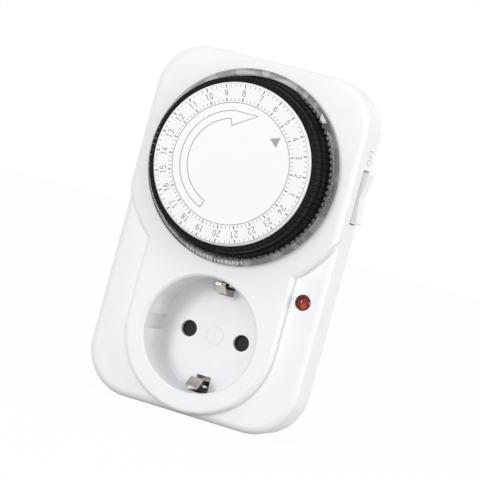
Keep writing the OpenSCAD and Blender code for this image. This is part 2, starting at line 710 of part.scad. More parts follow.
module plate_outline() {
    top = dial_up + plate_top;
    notch_x = side_x - 4.7;
    notch = rocker_l / 2 + 2;
    polygon([[-side_x, top], [side_x, top], [side_x, rocker_up + notch], [notch_x, rocker_up + notch],
             [notch_x, rocker_up - notch], [side_x, rocker_up - notch], [side_x, plate_low + 11.6],
             [side_x - 7.2, plate_low], [-16, plate_low], [5.2 - side_x, plate_low + 3.6],
             [-side_x, plate_low + 7.6]]);
}

// Moulded front plate with the dial's post, the lever's ears and the pillars of the rear plate
module gear_plate() color([0.87, 0.85, 0.80]) difference() {
    union() {
        plate(plate_back_y, plate_y) plate_outline();
        rod(dial_c, post_r - running, plate_y + eps, drum_y + drum_web + gap);
        for (x = [lever_x - lever_w / 2 - lever_pin_end, lever_x + lever_w / 2 + gap])
            block([x, lever_pivot[0] - lever_hub_r, lever_pivot[1] - lever_hub_r],
                  [x + lever_pin_end - gap, plate_y + eps, lever_pivot[1] + lever_hub_r]);
        for (p = pillars) rod(p, 2, rear_plate_y, plate_back_y - eps);
        for (p = pillars) rod(p, 1, rear_plate_back_y, rear_plate_y - eps);
    }
    rod(dial_c, post_r - 1.4, plate_back_y + eps, drum_y + drum_web + 2);
    block([lever_x - lever_w / 2 - gap, plate_y - eps, lever_pivot[1] - 1.8],
          [lever_x + lever_w / 2 + gap, plate_back_y + eps, lever_pivot[1] + 8.2]);
    translate([lever_x - 5, lever_pivot[0], lever_pivot[1]]) rotate([0, 90, 0])
        cylinder(r = lever_pin_r + running, h = 10);
    rod(drive_c, drive_shaft_r + running, plate_back_y + eps, plate_y - eps);
    for (c = [one_c, two_c]) rod(c, arbor_r + 0.02, plate_back_y + eps, plate_y - eps);
    for (p = posts) rod(p, post_stake_r + running, plate_back_y + eps, plate_y - eps);
}

module rear_plate() color([0.87, 0.85, 0.80]) difference() {
    top = dial_up + plate_top;
    left = rear_plate_in - side_x;
    right = side_x - rear_plate_right;
    plate(rear_plate_back_y, rear_plate_y)
        polygon([[left, top - rear_plate_chamfer], [left + rear_plate_chamfer, top],
                 [right, top], [right, dial_up - rear_plate_step_down],
                 [side_x - rear_plate_step, dial_up - rear_plate_step_down],
                 [rear_plate_foot - side_x, dial_up - rear_plate_down],
                 [left, dial_up - rear_plate_down]]);
    for (p = pillars) rod(p, 1 + running, rear_plate_back_y + eps, rear_plate_y - eps);
    for (c = [one_c, two_c, pawl_c])
        rod(c, arbor_r + 0.02, rear_plate_back_y + eps, rear_plate_y - eps);
    rod(drive_c, drive_shaft_r + running, rear_plate_back_y + eps, rear_plate_y - eps);
    rod(motor_c, arbor_r + running, rear_plate_back_y + eps, rear_plate_y - eps);
}

module gear_arbors() color(nickel)
    for (c = [one_c, two_c]) rod(c, arbor_r, rear_plate_back_y - 0.2, plate_y + 0.2);

module motor_case() color([0.7, 0.71, 0.72]) difference() {
    rod(motor_c, motor_r, motor_back_y, rear_plate_back_y);
    rod(motor_c, motor_r - 0.8, motor_back_y - 0.8, rear_plate_back_y - eps);
    rod(motor_c, arbor_r + running, motor_back_y + eps, motor_back_y - 1);
}

module motor_coil() color([0.72, 0.40, 0.20]) difference() {
    rod(motor_c, motor_r - 1, motor_back_y - 0.8, rear_plate_back_y);
    rod(motor_c, rotor_r + 2 * gap, motor_back_y, rear_plate_back_y - eps);
}

// Magnet rotor with its moulded pinion in the clockwork's rear layer
module rotor() color([0.35, 0.35, 0.37]) {
    rod(motor_c, rotor_r, motor_back_y - 1.2, rear_plate_back_y + 0.4);
    rod(motor_c, arbor_r, motor_back_y - 0.1, layer_c_y + eps);
    gear(motor_c, pinion_teeth, train_module, gap_at(motor_angle, pinion_teeth),
         layer_c_y + wheel_t, layer_c_y);
}

// A wheel and pinion on one arbor: the pinion stands forward of the wheel
module wheel_and_pinion(c, wheel_turn, pinion_turn, y_front) difference() {
    union() {
        gear(c, wheel_teeth, train_module, wheel_turn, y_front + wheel_t, y_front);
        gear(c, pinion_teeth, train_module, pinion_turn, y_front + eps, y_front - wheel_t - 0.5);
    }
    rod(c, arbor_r + running, y_front + wheel_t + eps, y_front - wheel_t - 1);
}

// The motor's pinion shows a tooth gap to wheel one, which faces it with a tooth, and so on forward
module gear_one() color([0.93, 0.92, 0.86])
    wheel_and_pinion(one_c, motor_angle, gap_at(two_angle, pinion_teeth), layer_c_y);
module gear_two() color([0.93, 0.92, 0.86])
    wheel_and_pinion(two_c, two_angle, gap_at(clutch_angle, pinion_teeth), layer_b_y);

// Wheel that drags the drive pinion's shaft by friction, so that the dial can be set by hand
module clutch_wheel() color([0.93, 0.92, 0.86]) difference() {
    union() {
        gear(drive_c, wheel_teeth, train_module, clutch_angle, layer_a_y + wheel_t, layer_a_y);
        rod(drive_c, collar_r, layer_a_y + wheel_t + 0.4, layer_a_y + eps);
    }
    rod(drive_c, drive_shaft_r + running, layer_a_y + 2 * wheel_t, layer_a_y - eps);
    for (a = [0, 90]) translate([drive_c[0], 0, drive_c[1]]) rotate([0, a, 0])
        block([-collar_r - 1, layer_a_y + wheel_t, -slot_half],
              [collar_r + 1, layer_a_y + 2 * wheel_t, slot_half]);
}

module drive_pinion() color([0.93, 0.92, 0.86]) {
    gear(drive_c, drive_teeth, dial_module, gap_at(drive_angle - 180, drive_teeth),
         dial_gear_y + dial_gear_t + 0.1, dial_gear_y);
    rod(drive_c, drive_shaft_r, rear_plate_back_y - 0.2, dial_gear_y + eps);
}

// Small pawl that lets the motor start in one direction only
module reverse_pawl() color([0.9, 0.88, 0.8]) {
    tip = motor_c - pawl_c;
    rod(pawl_c, pawl_hub_r, pawl_y + pawl_t, pawl_y);
    rod(pawl_c, arbor_r, rear_plate_y + plate_t / 2, pawl_y + eps);
    plate(pawl_y + pawl_t, pawl_y) translate(pawl_c)
        polygon([[-0.2, -1.2], [1, 0], [-0.4, 1.2],
                 [tip[0] + 2.6, tip[1] + 2.4], [tip[0] + 2.7, tip[1] + 1.5]]);
}

// ---- Dial ----

module dial_drum() color(black) {
    turned(dial_c) polygon([
        [post_r, drum_y], [drum_r, drum_y], [drum_r, tongue_y - gap], [drum_r - groove, tongue_y - gap],
        [drum_r - groove, tongue_y + tongue_h + tappet_travel + gap],
        [drum_r, tongue_y + tongue_h + tappet_travel + gap],
        [drum_r, dial_gear_y], [drum_in_r, dial_gear_y], [drum_in_r, dial_gear_y - 0.8],
        [drum_r - drum_wall, dial_gear_y - 0.8], [drum_r - drum_wall, drum_y + drum_web],
        [hub_r, drum_y + drum_web], [hub_r, plate_y - gap], [post_r, plate_y - gap]]);
    difference() {
        gear(dial_c, dial_gear_teeth, dial_module, drive_angle,
             dial_gear_y + dial_gear_t, dial_gear_y - eps);
        rod(dial_c, drum_in_r, dial_gear_y + dial_gear_t + eps, dial_gear_y - 1);
    }
}

module label_disc() color([0.97, 0.96, 0.93]) turned(dial_c)
    polygon(concat([[0, drum_y], [0, label_y], [label_r - rim_w, label_y]],
        [for (a = [0:22.5:90]) [label_r - rim_w * (1 - sin(a)),
                                label_y + rim_step + rim_round * (1 - cos(a))]],
        [[label_r, drum_y]]));

// One tappet: a slim wedge with a tongue in the drum's groove and a foot that can reach the lever
module tappet() {
    r_in = drum_r + 0.25;
    rotate([0, 0, -tappet_angle / 2]) rotate_extrude(angle = tappet_angle)
        polygon([[r_in, -tappet_top_y], [tappet_r - 1.5, -tappet_top_y],
                 [tappet_r - 1.1, -tappet_top_y - 0.6],
                 [tappet_r - 0.9, -tappet_top_y - 4.8], [tappet_r - 0.3, -tappet_top_y - 5.2],
                 [tappet_r, -tappet_foot_y + 2], [tappet_r, -tappet_foot_y + 0.4],
                 [tappet_r - 0.5, -tappet_foot_y], [r_in + 0.4, -tappet_foot_y],
                 [r_in, -tongue_y - tongue_h - 1], [r_in, -tongue_y - tongue_h],
                 [r_in - 0.85, -tongue_y - tongue_h], [r_in - 0.85, -tongue_y], [r_in, -tongue_y]]);
}

// The four quarter-hour tappets of hour h
module tappets_hour(h) color(black) upright(0) translate([dial_c[0], dial_c[1], 0])
    for (q = [0 : QUARTERS - 1])
        rotate([0, 0, dial_phase + 360 / HOURS * (h + (q + 0.5) / QUARTERS)]) tappet();

front_housing();
rear_housing();
housing_screws();
guard_ring();
earth_clip_top();
earth_clip_bottom();
earth_bridge();
plug_pin(1);  // plug_pin_live
plug_pin(-1);  // plug_pin_neutral
socket_contact_live();
socket_contact_neutral();
contact_carrier();
child_shutter();
shutter_spring();
live_busbar();
load_busbar();
switch_case();
switch_blade();
follower_lever();
side_rocker();
indicator_lens();
neon_lamp();
lamp_resistor();
gear_plate();
rear_plate();
gear_arbors();
motor_case();
motor_coil();
rotor();
gear_one();
gear_two();
clutch_wheel();
drive_pinion();
reverse_pawl();
dial_drum();
label_disc();
for (h = [0 : HOURS - 1]) tappets_hour(h);
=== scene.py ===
"""Looks of the plug-in timer: plastics, metals, the printed dial, the clear ring's details and the camera."""

import json
import math

import bmesh
import bpy
from mathutils import Matrix, Vector


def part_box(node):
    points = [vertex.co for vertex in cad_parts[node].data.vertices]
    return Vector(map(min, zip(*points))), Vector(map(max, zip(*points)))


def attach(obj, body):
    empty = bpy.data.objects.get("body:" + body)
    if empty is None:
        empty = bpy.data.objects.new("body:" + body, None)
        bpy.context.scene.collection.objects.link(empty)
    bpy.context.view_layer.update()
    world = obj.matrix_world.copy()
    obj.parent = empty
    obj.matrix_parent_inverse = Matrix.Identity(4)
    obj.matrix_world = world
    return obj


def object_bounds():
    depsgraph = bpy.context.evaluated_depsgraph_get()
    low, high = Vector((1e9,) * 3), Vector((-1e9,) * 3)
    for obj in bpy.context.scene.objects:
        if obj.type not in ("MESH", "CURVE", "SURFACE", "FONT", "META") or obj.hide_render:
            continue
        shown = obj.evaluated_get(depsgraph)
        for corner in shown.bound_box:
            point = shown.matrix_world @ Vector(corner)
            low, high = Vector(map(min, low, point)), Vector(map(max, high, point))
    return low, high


MM = 0.001
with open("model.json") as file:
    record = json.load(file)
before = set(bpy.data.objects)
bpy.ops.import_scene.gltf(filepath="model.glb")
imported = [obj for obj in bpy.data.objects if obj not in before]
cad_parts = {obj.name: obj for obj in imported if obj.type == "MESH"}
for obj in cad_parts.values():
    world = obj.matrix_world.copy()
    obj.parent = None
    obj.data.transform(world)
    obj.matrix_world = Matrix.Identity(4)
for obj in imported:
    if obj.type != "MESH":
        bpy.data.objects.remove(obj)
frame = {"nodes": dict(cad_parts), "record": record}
cad_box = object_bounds()


# ---- Places taken from the part, in millimetres ----


def low_corner(node):
    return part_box(node)[0] / MM


def high_corner(node):
    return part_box(node)[1] / MM


def mount(name):
    return next(entry for entry in frame["record"]["mounts"] if entry["name"] == name)


LABEL_FACE = low_corner("label_disc").y
LABEL_RIM = 0.8
PRINT_EDGE = high_corner("label_disc").x - LABEL_RIM
DIAL_UP = (low_corner("label_disc").z + high_corner("label_disc").z) / 2
RAISED_FACE = low_corner("front_housing").y
SIDE_FACE = high_corner("front_housing").x
RING_FACE = low_corner("guard_ring").y
RING_OUT = high_corner("guard_ring").x
PIN_HOLE = mount("socket_hole_live")
SOCKET_FLOOR = (PIN_HOLE["pos_m"][1] - PIN_HOLE["dims"]["length_mm"] * MM / 2) / MM
LENS_AT = (low_corner("indicator_lens") + high_corner("indicator_lens")) / 2
LENS_R = 2.6
HOURS = 24
QUARTERS = 4 * HOURS

# Where the end of the last hour stands, in degrees from the right
HOUR_ZERO = 334.0


# ---- Shader maths ----


class Value:
    """A socket whose arithmetic adds Math nodes to its shader."""

    def __init__(self, shader, socket):
        self.shader, self.socket = shader, socket

    def maths(self, operation, *terms):
        return self.shader.node("ShaderNodeMath", {"operation": operation}, dict(enumerate(terms)))("Value")

    def __add__(self, other):
        return self.maths("ADD", self, other)

    __radd__ = __add__

    def __mul__(self, other):
        return self.maths("MULTIPLY", self, other)

    __rmul__ = __mul__

    def __sub__(self, other):
        return self.maths("SUBTRACT", self, other)

    def __rsub__(self, other):
        return self.maths("SUBTRACT", other, self)

    def __pow__(self, other):
        return self.maths("POWER", self, other)

    def __gt__(self, other):
        return self.maths("GREATER_THAN", self, other)

    def either(self, other):
        return self.maths("MAXIMUM", self, other)

    def fraction(self):
        return self.maths("FRACT", self)

    def ramp(self, low, high):
        """0 at low, 1 at high, straight between and held beyond."""
        inputs = {"Value": self, "From Min": low, "From Max": high}
        return self.shader.node("ShaderNodeMapRange", {}, inputs)("Result")


class Shader:
    """The nodes of one material or of the world."""

    def __init__(self, owner):
        owner.use_nodes = True
        self.tree = owner.node_tree

    def node(self, kind, settings, inputs):
        """Adds a node: its settings first, then a number or a Value for each input."""
        made = self.tree.nodes.new(kind)
        for key, value in settings.items():
            setattr(made, key, value)
        for key, value in inputs.items():
            if isinstance(value, Value):
                self.tree.links.new(value.socket, made.inputs[key])
            else:
                made.inputs[key].default_value = value
        return lambda output: Value(self, made.outputs[output])

    def finish_with(self, surface):
        out = next(node for node in self.tree.nodes if node.type.startswith("OUTPUT"))
        self.tree.links.new(surface.socket, out.inputs["Surface"])

    def seen_directly(self):
        """1 for rays from the camera, a gloss or clear plastic."""
        path = self.node("ShaderNodeLightPath", {}, {})
        return path("Is Camera Ray").either(path("Is Glossy Ray")).either(path("Is Transmission Ray"))


class Finish(Shader):
    """A procedural finish for one material of the object."""

    def __init__(self, name, colour, roughness, **constants):
        self.material = bpy.data.materials.new(name)
        super().__init__(self.material)
        self.surface = self.tree.nodes["Principled BSDF"]
        self.material.diffuse_color = (*colour, 1.0)
        self.surface.inputs["Base Color"].default_value = (*colour, 1.0)
        self.surface.inputs["Roughness"].default_value = roughness
        for key, value in constants.items():
            self.surface.inputs[key.replace("_", " ")].default_value = value
        self.place = self.node("ShaderNodeTexCoord", {}, {})("Object")

    def feed(self, name, value):
        self.tree.links.new(value.socket, self.surface.inputs[name])

    def grain(self, scale, detail=3.0, place=None):
        inputs = {"Vector": place or self.place, "Scale": scale, "Detail": detail, "Roughness": 0.55}
        return self.node("ShaderNodeTexNoise", {}, inputs)("Fac")

    def blend(self, mask, low, high):
        """A colour that goes from low to high with the mask."""
        low = low if isinstance(low, Value) else (*low, 1.0)
        return self.node("ShaderNodeMix", {"data_type": "RGBA"}, {"Factor": mask, 6: low, 7: (*high, 1.0)})(2)

    def relief(self, height, distance, strength=0.35):
        inputs = {"Height": height, "Distance": distance, "Strength": strength}
        self.feed("Normal", self.node("ShaderNodeBump", {}, inputs)("Normal"))

    def along(self, axis):
        """Place along one axis, in millimetres."""
        return self.node("ShaderNodeSeparateXYZ", {}, {"Vector": self.place})(axis) * (1 / MM)

    def distance_from(self, x, z):
        """Distance from an axis that runs from front to back, in millimetres."""
        return ((self.along("X") - x) ** 2.0 + (self.along("Z") - z) ** 2.0) ** 0.5


def moulded(name, dark, light, gloss, fine=900.0, depth=0.00002, **constants):
    """A moulded plastic: slow change of tone, uneven gloss and a fine skin."""
    made = Finish(name, light, gloss, **constants)
    made.feed("Base Color", made.blend(made.grain(60.0), dark, light))
    made.feed("Roughness", gloss + (made.grain(260.0) - 0.5) * 0.16)
    made.relief(made.grain(fine, 2.0), depth)
    return made


def rolled(name, dark, light, gloss, stretch=(60.0, 60.0, 900.0)):
    """A metal strip or turned bar with faint drawn lines."""
    made = Finish(name, light, gloss, Metallic=1.0)
    drawn = made.node("ShaderNodeMapping", {}, {"Vector": made.place, "Scale": stretch})("Vector")
    lines = made.grain(12.0, place=drawn)
    made.feed("Base Color", made.blend(lines, dark, light))
    made.feed("Roughness", gloss + (lines - 0.5) * 0.2)
    made.relief(lines, 0.00001, 0.3)
    return made


def smoked_clear(name, tint, seen_flat, seen_edgewise, gloss=0.08):
    """Tinted clear plastic, denser where it is seen edgewise, with painted shade that makes it denser still
    at two places round the dial.
    """
    made = Finish(name, tint, gloss)
    made.feed("Base Color", made.blend(made.grain(60.0), tuple(0.9 * part for part in tint), tint))
    edgewise = made.node("ShaderNodeLayerWeight", {}, {"Blend": 0.5})("Facing") ** 2.0
    # Painted shade: the plastic is made denser, and so darker, towards both ends of one slanting line across
    # the dial
    slanting = made.along("X") * math.cos(PAINTED_SHADE_TURN) + (made.along("Z") - DIAL_UP) * math.sin(PAINTED_SHADE_TURN)
    painted_shade = (slanting * (1 / RING_OUT) - PAINTED_SHADE_SHIFT) ** 6.0
    made.feed("Alpha", seen_flat + painted_shade * PAINTED_SHADE_MORE + edgewise * (seen_edgewise - seen_flat))
    made.feed("Roughness", gloss + made.grain(260.0) * 0.06)
    return made


def label_plastic():
    """Warm white hour band outside a cooler white middle, with a painted shade line at the foot of the raised
    face.
    """
    made = Finish("label_white", (0.92, 0.91, 0.9), 0.45, Specular_IOR_Level=0.35)
    out = made.distance_from(0.0, DIAL_UP)
    band = out.ramp(CIRCLE - 0.2, CIRCLE + 0.2)
    printed = made.blend(band, (0.945, 0.94, 0.96), (0.93, 0.915, 0.905))
    # Painted shade: a dark line at the foot of the raised face, where its step stands in shade
    foot = (out > PRINT_EDGE + 0.02) * (1 - out.ramp(PRINT_EDGE + 0.1, PRINT_EDGE + 0.2))
    made.feed("Base Color", made.blend(foot, printed, (0.34, 0.33, 0.31)))
    made.feed("Roughness", 0.45 + (made.grain(500.0) - 0.5) * 0.12)
    made.relief(made.grain(1500.0, 2.0), 0.00001, 0.3)
    return made


def lens_plastic():
    """Deep red, with painted shade darker towards the rim and a painted warm glow low on one side."""
    made = Finish("red_lens", (0.26, 0.012, 0.01), 0.06, Specular_IOR_Level=0.35)
    # Painted shade: the red darkens towards the rim, off centre to one side
    rim_shade = made.distance_from(LENS_AT.x + 0.5, LENS_AT.z).ramp(0.6, LENS_R)
    body = made.blend(rim_shade, (0.34, 0.010, 0.008), (0.035, 0.002, 0.003))
    # Painted light: a warm glow low on one side of the lens
    painted_glow = 1 - made.distance_from(LENS_AT.x + 0.8, LENS_AT.z - 1.1).ramp(0.2, 1.3)
    made.feed("Base Color", made.blend(painted_glow * 0.8, body, (0.65, 0.12, 0.03)))
    made.feed("Roughness", 0.06 + made.grain(900.0) * 0.08)
    return made


def coil_winding():
    """Enamelled wire seen through clear tape."""
    made = Finish("coil_copper", (0.5, 0.2, 0.06), 0.35, Metallic=0.6)
    inputs = {"Vector": made.place, "Scale": 900.0, "Distortion": 0.4}
    turns = made.node("ShaderNodeTexWave", {"bands_direction": "Y"}, inputs)("Fac")
    made.feed("Base Color", made.blend(turns, (0.22, 0.07, 0.02), (0.62, 0.28, 0.1)))
    made.relief(turns, 0.00015, 0.8)
    return made


def lacquered_resistor():
    """A tan body with dark bands round it."""
    made = Finish("resistor_body", (0.62, 0.5, 0.33), 0.4)
    band = (made.along("Z") * 0.7).fraction() > 0.62
    made.feed("Base Color", made.blend(band, (0.62, 0.5, 0.33), (0.32, 0.12, 0.06)))
    made.feed("Roughness", 0.4 + made.grain(800.0) * 0.1)
    return made


# Where the painted shade in the smoky plastic is densest, round the dial, by how much, and the lean to its
# lower end
PAINTED_SHADE_TURN = math.radians(42)
PAINTED_SHADE_MORE = 0.33
PAINTED_SHADE_SHIFT = 0.08

# Radii of the dial's print
TICK_OUT = 25.6
CIRCLE = 19.7

FINISHES = {
    "white_shell": moulded("white_shell", (0.90, 0.90, 0.91), (0.93, 0.93, 0.935), 0.42),
    "smoky_clear": smoked_clear("smoky_clear", (0.13, 0.13, 0.12), 0.14, 0.7),
    "plated_steel": rolled("plated_steel", (0.42, 0.42, 0.41), (0.62, 0.62, 0.6), 0.32),
    "nickel_spring": rolled("nickel_spring", (0.5, 0.48, 0.42), (0.76, 0.74, 0.68), 0.2),
    "nickel_pin": rolled("nickel_pin", (0.56, 0.55, 0.52), (0.78, 0.77, 0.74), 0.16),
    "contact_brass": rolled("contact_brass", (0.5, 0.34, 0.12), (0.75, 0.55, 0.24), 0.28),
    "ivory_insulator": moulded("ivory_insulator", (0.62, 0.58, 0.48), (0.7, 0.66, 0.56), 0.5),
    "shutter_dark": moulded(
        "shutter_dark", (0.006, 0.010, 0.009), (0.010, 0.016, 0.014), 0.4, Specular_IOR_Level=0.15
    ),
    "switch_dark": moulded("switch_dark", (0.018, 0.018, 0.02), (0.03, 0.03, 0.034), 0.5),
    "acetal": moulded("acetal", (0.76, 0.73, 0.64), (0.83, 0.8, 0.72), 0.42),
    "red_lens": lens_plastic(),
    "lamp_glass": moulded("lamp_glass", (0.8, 0.52, 0.38), (0.88, 0.66, 0.5), 0.08, Alpha=0.6),
    "resistor_body": lacquered_resistor(),
    "coil_copper": coil_winding(),
    "ferrite": moulded("ferrite", (0.03, 0.03, 0.032), (0.055, 0.055, 0.06), 0.55, depth=0.00004),
    "black_dial": moulded(
        "black_dial", (0.004, 0.004, 0.0035), (0.008, 0.008, 0.007), 0.46, Specular_IOR_Level=0.07
    ),
    "label_white": label_plastic(),
}
INK = moulded("printed_grey", (0.2, 0.19, 0.19), (0.26, 0.24, 0.24), 0.6, depth=0.000004)
LIGHT_INK = moulded("printed_light_grey", (0.36, 0.34, 0.33), (0.42, 0.4, 0.39), 0.6, depth=0.000004)
POINTER = moulded("pointer_silver", (0.5, 0.51, 0.48), (0.6, 0.61, 0.58), 0.3)
STOP = moulded("stop_black", (0.012, 0.012, 0.011), (0.02, 0.02, 0.018), 0.3, Specular_IOR_Level=0.25)
SMOKE_BEAD = moulded("smoke_bead", (0.17, 0.17, 0.155), (0.22, 0.22, 0.205), 0.5, Specular_IOR_Level=0.3)
PAINTED_SHADE_LINE = moulded("shell_line_painted_shade", (0.74, 0.74, 0.74), (0.78, 0.78, 0.78), 0.42)
PAINTED_GLINT_RIB = moulded("rib_painted_glint", (0.7, 0.7, 0.7), (0.8, 0.8, 0.8), 0.12)

for entry in frame["record"]["subparts"]:
    carried = frame["nodes"][entry["node"]]
    carried.data.materials.clear()
    carried.data.materials.append(FINISHES[entry["material_slot"]].material)


# ---- Print and small raised pieces ----


def facing(depth, up=0.0):
    """Puts a flat drawing on a face that looks to the front."""
    return lambda u, v, lift: Vector((u, depth - lift, up + v)) * MM


def on_side(u, v, lift):
    return Vector((SIDE_FACE + lift, u, v)) * MM


on_dial = facing(LABEL_FACE, DIAL_UP)
on_ring = facing(RING_FACE, DIAL_UP)
on_floor = facing(SOCKET_FLOOR)


def round_point(radius, degrees):
    return radius * math.cos(math.radians(degrees)), radius * math.sin(math.radians(degrees))


def arc(radius, start, end, steps):
    return [round_point(radius, start + (end - start) * i / steps) for i in range(steps + 1)]


def oval(cx, cy, rx, ry, start, end, steps=10):
    return [(cx + rx * x, cy + ry * y) for x, y in arc(1.0, start, end, steps)]


class Lines:
    """Flat-topped strokes that stand a hair above a surface, gathered into one piece."""

    def __init__(self, surface, top=0.03, foot=-0.02):
        self.surface, self.top, self.foot = surface, top, foot
        self.points, self.faces = [], []

    def stroke(self, line, width, closed=False):
        if closed and line[0] == line[-1]:
            line = line[:-1]
        count = len(line)
        first = len(self.points)
        for i, (x, y) in enumerate(line):
            before = line[i - 1] if i or closed else line[0]
            after = line[(i + 1) % count] if i < count - 1 or closed else line[-1]
            a = Vector((x - before[0], y - before[1]))
            b = Vector((after[0] - x, after[1] - y))
            a = a.normalized() if a.length else b.normalized()
            b = b.normalized() if b.length else a
            along = (a + b).normalized() if (a + b).length > 0.2 else b
            side = Vector((-along.y, along.x)) * (width / 2 / max(along.dot(b), 0.4))
            for lift in (self.top, self.foot):
                for way in (1, -1):
                    self.points.append(self.surface(x + way * side.x, y + way * side.y, lift))
        last = count if closed else count - 1
        for i in range(last):
            p, q = first + 4 * i, first + 4 * ((i + 1) % count)
            self.faces += [(p, q, q + 1, p + 1), (p + 2, p + 3, q + 3, q + 2), (p, p + 2, q + 2, q)]
            self.faces += [(p + 1, q + 1, q + 3, p + 3)]
        if not closed:
            for p in (first, first + 4 * (count - 1)):
                self.faces.append((p, p + 1, p + 3, p + 2))

    def patch(self, outline):
        self.layers([[self.surface(x, y, lift) for x, y in outline] for lift in (self.top, self.foot)])

    def layers(self, rings):
        """A closed form through rings of as many points, from its top to its foot."""
        first, count = len(self.points), len(rings[0])
        for ring in rings:
            self.points += ring
        last = first + count * (len(rings) - 1)
        self.faces += [tuple(range(first, first + count)), tuple(range(last, last + count))]
        for start in range(first, last, count):
            for i in range(count):
                j = (i + 1) % count
                self.faces.append((start + i, start + j, start + count + j, start + count + i))

    def piece(self, name, body, finish):
        mesh = bpy.data.meshes.new(name)
        mesh.from_pydata(self.points, [], self.faces)
        shape = bmesh.new()
        shape.from_mesh(mesh)
        bmesh.ops.recalc_face_normals(shape, faces=shape.faces)
        shape.to_mesh(mesh)
        shape.free()
        made = bpy.data.objects.new(name, mesh)
        bpy.context.scene.collection.objects.link(made)
        mesh.materials.append(finish.material)
        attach(made, body)


# Strokes of the numerals and letters, in a cell one unit wide and two high
GLYPHS = {
    "0": [oval(0.5, 1.0, 0.46, 1.0, 0, 360, 18)],
    "1": [[(0.2, 1.6), (0.62, 2.0), (0.62, 0.0)]],
    "2": [oval(0.5, 1.48, 0.46, 0.52, 170, -28) + [(0.04, 0.0), (1.0, 0.0)]],
    "3": [oval(0.48, 1.5, 0.42, 0.5, 150, -80) + oval(0.48, 0.52, 0.48, 0.52, 80, -150)],
    "4": [[(0.72, 0.0), (0.72, 2.0), (0.0, 0.6), (1.0, 0.6)]],
    "5": [[(0.92, 2.0), (0.18, 2.0), (0.1, 1.12)] + oval(0.46, 0.64, 0.5, 0.64, 125, -145)],
    "6": [oval(0.5, 0.6, 0.46, 0.6, 0, 360, 14), oval(0.98, 0.6, 0.94, 1.4, 108, 180, 6)],
    "7": [[(0.02, 2.0), (0.98, 2.0), (0.36, 0.0)]],
    "8": [oval(0.5, 1.5, 0.38, 0.48, 0, 360, 12), oval(0.5, 0.52, 0.46, 0.52, 0, 360, 14)],
    "9": [oval(0.5, 1.4, 0.46, 0.6, 0, 360, 14), oval(0.02, 1.4, 0.94, 1.4, -72, 0, 6)],
    "O": [oval(0.5, 1.0, 0.5, 1.0, 0, 360, 16)],
    "N": [[(0.0, 0.0), (0.0, 2.0), (1.0, 0.0), (1.0, 2.0)]],
}


def write(lines, word, cell, width, to_surface):
    """Draws a word centred on the surface point that to_surface gives for (0, 0)."""
    pitch = cell * 1.5
    start = -(pitch * (len(word) - 1) + cell) / 2
    for i, letter in enumerate(word):
        for stroke in GLYPHS[letter]:
            placed = [to_surface(start + i * pitch + x * cell, (y - 1.0) * cell) for x, y in stroke]
            lines.stroke(placed, width, closed=stroke[0] == stroke[-1])


def print_circle():
    circle = Lines(on_dial)
    circle.stroke(arc(CIRCLE, 0, 360, 180), 0.26, closed=True)
    circle.piece("scale_circle", "dial", LIGHT_INK)


def print_ticks(name, quarters, width, length, ink):
    """The same ticks in the outer and the inner row."""
    ticks = Lines(on_dial)
    for quarter in quarters:
        turn = HOUR_ZERO + quarter * 360 / QUARTERS
        for foot in (TICK_OUT - length, CIRCLE + 0.4):
            ticks.stroke([round_point(foot, turn), round_point(foot + length, turn)], width)
    ticks.piece(name, "dial", ink)


def print_numbers():
    """The hours, which stand with their heads outward."""
    numbers = Lines(on_dial)
    middle = 22.85
    for hour in range(1, HOURS + 1):
        out = round_point(1.0, HOUR_ZERO + hour * 360 / HOURS)
        along = (out[1], -out[0])

        def placed(u, v):
            return (middle + v) * out[0] + u * along[0], (middle + v) * out[1] + u * along[1]

        write(numbers, str(hour), 0.98, 0.21, placed)
    numbers.piece("hour_numbers", "dial", INK)


def print_arrow():
    """The outlined arrow that shows which way the dial turns, and the solid setting mark."""
    arrow = Lines(on_dial)
    head = [round_point(17.5, 73.8), round_point(12.2, 103.7), round_point(14.6, 104.8)]
    arrow.stroke(arc(17.1, -111, -260, 60) + head + arc(14.55, 104.8, 249, 60), 0.29, closed=True)
    arrow.piece("turning_arrow", "dial", LIGHT_INK)
    mark = Lines(on_dial)
    mark.patch([round_point(15.25, 45.5), round_point(18.45, 40.6), round_point(15.87, 32.4)])
    mark.piece("set_mark", "dial", LIGHT_INK)


# Corners on the ring, as a radius and a direction
POINTER_CORNERS = ((32.0, 47.0), (30.5, 44.4), (30.6, 41.7), (31.9, 40.1))
STOP_CORNERS = ((30.4, 41.2), (31.5, 41.2), (31.9, 37.7), (31.7, 34.0), (30.4, 37.0))

# The beads sit at the quarter hours of the right and lower side. Each has half a width, half a turn
# in degrees, and a section as shares of these with the height of each.
BEAD_QUARTERS = range(-29, 17)
BEAD_OUT, BEAD_HALF, BEAD_TURN = 30.2, 0.45, 1.25
BEAD_SECTION = ((0.3, 0.12), (0.75, 0.02), (1.0, -0.2), (1.0, -0.7))

# The grip ribs start low on the left; their pale colour is a painted glint on the clear ring
RIBS, RIB_START, RIB_STEP = 16, 250.0, 2.4


